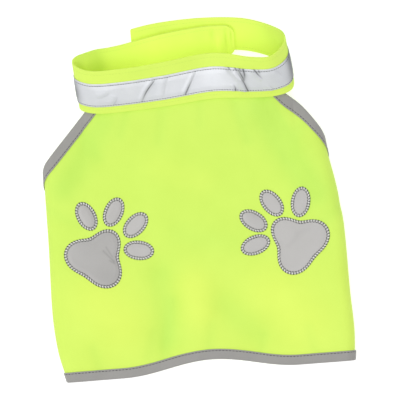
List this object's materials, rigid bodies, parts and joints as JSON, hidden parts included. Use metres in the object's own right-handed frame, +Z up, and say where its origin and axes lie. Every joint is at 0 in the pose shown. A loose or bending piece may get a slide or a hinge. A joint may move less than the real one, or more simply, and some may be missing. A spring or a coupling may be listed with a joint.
{
  "type": "dog coat",
  "caption": "High-visibility dog coat laid flat, with a closed stand collar, a reflective tape at the nape and a paw print patch on each side.",
  "frame": {"origin": "on the surface the coat lies on, under the middle of its bounding box", "axes": "+Z up from the surface, +Y along the back from the hem towards the neck, +X towards the wearer's right as seen from above with the neck ahead"},
  "size_m": [0.3004, 0.354, 0.0514],
  "materials": {
    "yellow_cloth": "fluorescent yellow woven polyester, matt with a faint sheen",
    "reflective_tape": "silver retro-reflective tape, smooth satin",
    "grey_binding": "grey woven binding, matt",
    "reflective_patch": "grey retro-reflective cloth, smooth satin"
  },
  "bodies": {
    "root": {"back_panel": "yellow_cloth", "collar": "yellow_cloth", "collar_tape": "reflective_tape", "shoulder_binding_left": "grey_binding", "shoulder_binding_right": "grey_binding", "hem_binding": "grey_binding", "paw_left_pad": "reflective_patch", "paw_left_toe_1": "reflective_patch", "paw_left_toe_2": "reflective_patch", "paw_left_toe_3": "reflective_patch", "paw_left_toe_4": "reflective_patch", "paw_right_pad": "reflective_patch", "paw_right_toe_1": "reflective_patch", "paw_right_toe_2": "reflective_patch", "paw_right_toe_3": "reflective_patch", "paw_right_toe_4": "reflective_patch", "belly_strap_left": "yellow_cloth", "belly_strap_right": "yellow_cloth"}
  },
  "joints": []
}
